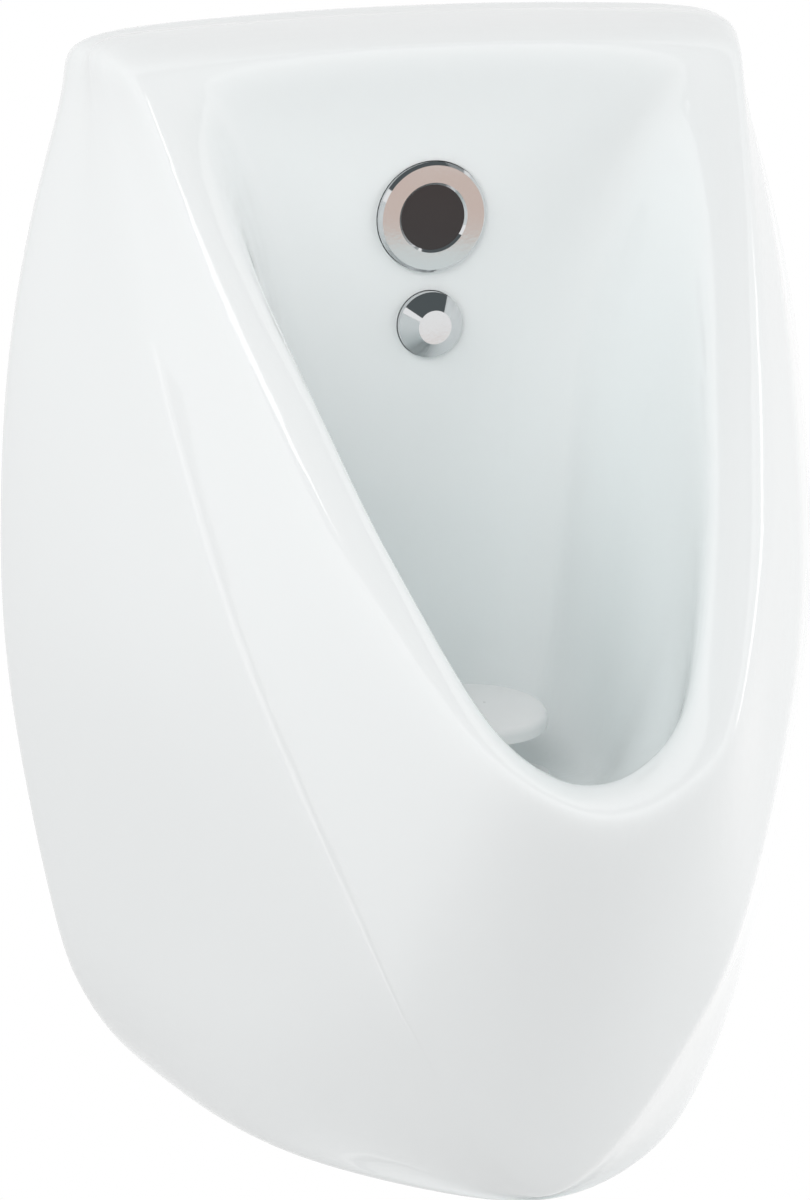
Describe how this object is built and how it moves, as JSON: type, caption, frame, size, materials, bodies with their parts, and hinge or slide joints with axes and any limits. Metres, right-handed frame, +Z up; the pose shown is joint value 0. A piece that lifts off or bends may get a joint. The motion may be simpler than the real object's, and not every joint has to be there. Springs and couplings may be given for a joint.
{
  "type": "wall-hung urinal",
  "caption": "Wall-hung white ceramic urinal with a pointed creased body, sloping rim, sensor flush in the bowl, covered drain, hidden valve and bottle trap.",
  "frame": {"origin": "midpoint of the two wall fixing holes, on the wall plane", "axes": "+X to the right as seen by the user, -Y to the user with the wall at y = 0, +Z up"},
  "size_m": [0.4262, 0.3086, 0.5682],
  "materials": {
    "glazed_white": "glossy white glaze",
    "chrome": "polished",
    "dark_window": "smooth infrared window",
    "black_plastic": "moulded",
    "board": "laminate",
    "diode": "clear dark lens",
    "rubber": "moulded seal",
    "brass": "machined",
    "grey_plastic": "moulded",
    "steel": "plain steel",
    "cell_shell": "printed sleeve, left bare",
    "white_plastic": "moulded white"
  },
  "bodies": {
    "fixture": {"ceramic_body": "glazed_white", "sensor_bezel": "chrome", "spreader_cap": "chrome", "spreader_stem": "chrome", "sensor_window": "dark_window", "sensor_housing": "black_plastic", "sensor_lock_nut": "black_plastic", "valve_coil": "black_plastic", "battery_box": "black_plastic", "sensor_circuit_board": "board", "infrared_diodes": "diode", "sensor_gasket": "rubber", "spreader_gasket": "rubber", "waste_seal": "rubber", "waste_washer": "rubber", "trap_neck_seal": "rubber", "trap_cup_seal": "rubber", "outlet_seal": "rubber", "hanger_pads": "rubber", "spreader_back_nut": "brass", "flush_elbow": "brass", "pipe_union_nuts": "brass", "valve_body": "brass", "inlet_nipple": "brass", "flush_pipe": "grey_plastic", "valve_bonnet": "grey_plastic", "inlet_filter": "grey_plastic", "bonnet_screws": "steel", "valve_core_tube": "steel", "plunger_spring": "steel", "coil_nut": "steel", "battery_contacts": "steel", "hanger_brackets": "steel", "battery_cells": "cell_shell", "waste_flange": "white_plastic", "waste_nut": "white_plastic", "trap_union_nut": "white_plastic", "trap_dip_tube": "white_plastic", "trap_body": "white_plastic", "trap_cup": "white_plastic", "outlet_pipe": "white_plastic", "outlet_nut": "white_plastic"},
    "cover": {"drain_cover": "white_plastic"},
    "plunger": {"valve_plunger": "steel"},
    "piston": {"valve_piston": "grey_plastic"},
    "stop": {"stop_screw": "brass"},
    "battery_door": {"battery_lid": "black_plastic"}
  },
  "joints": [
    {"name": "cover_lift", "type": "slide", "parent": "fixture", "child": "cover", "axis": [0, 0, 1], "range_m": [0, 0.05]},
    {"name": "plunger_slide", "type": "slide", "parent": "fixture", "child": "plunger", "axis": [0, 0, 1], "range_m": [0, 0.003], "stiffness_N_per_m": 300, "deforming": ["plunger_spring"]},
    {"name": "piston_slide", "type": "slide", "parent": "fixture", "child": "piston", "axis": [0, 0, 1], "range_m": [0, 0.0025]},
    {"name": "stop_turn", "type": "hinge", "parent": "fixture", "child": "stop", "pos_m": [0.14295, -0.066, -0.07295], "axis": [0, -1, 0], "range_deg": [0, 90]},
    {"name": "lid_slide", "type": "slide", "parent": "fixture", "child": "battery_door", "axis": [0, 0, -1], "range_m": [0, 0.045]}
  ],
  "couplings": [
    {"joint": "piston_slide", "follows": "plunger_slide", "ratio": 0.8333}
  ]
}
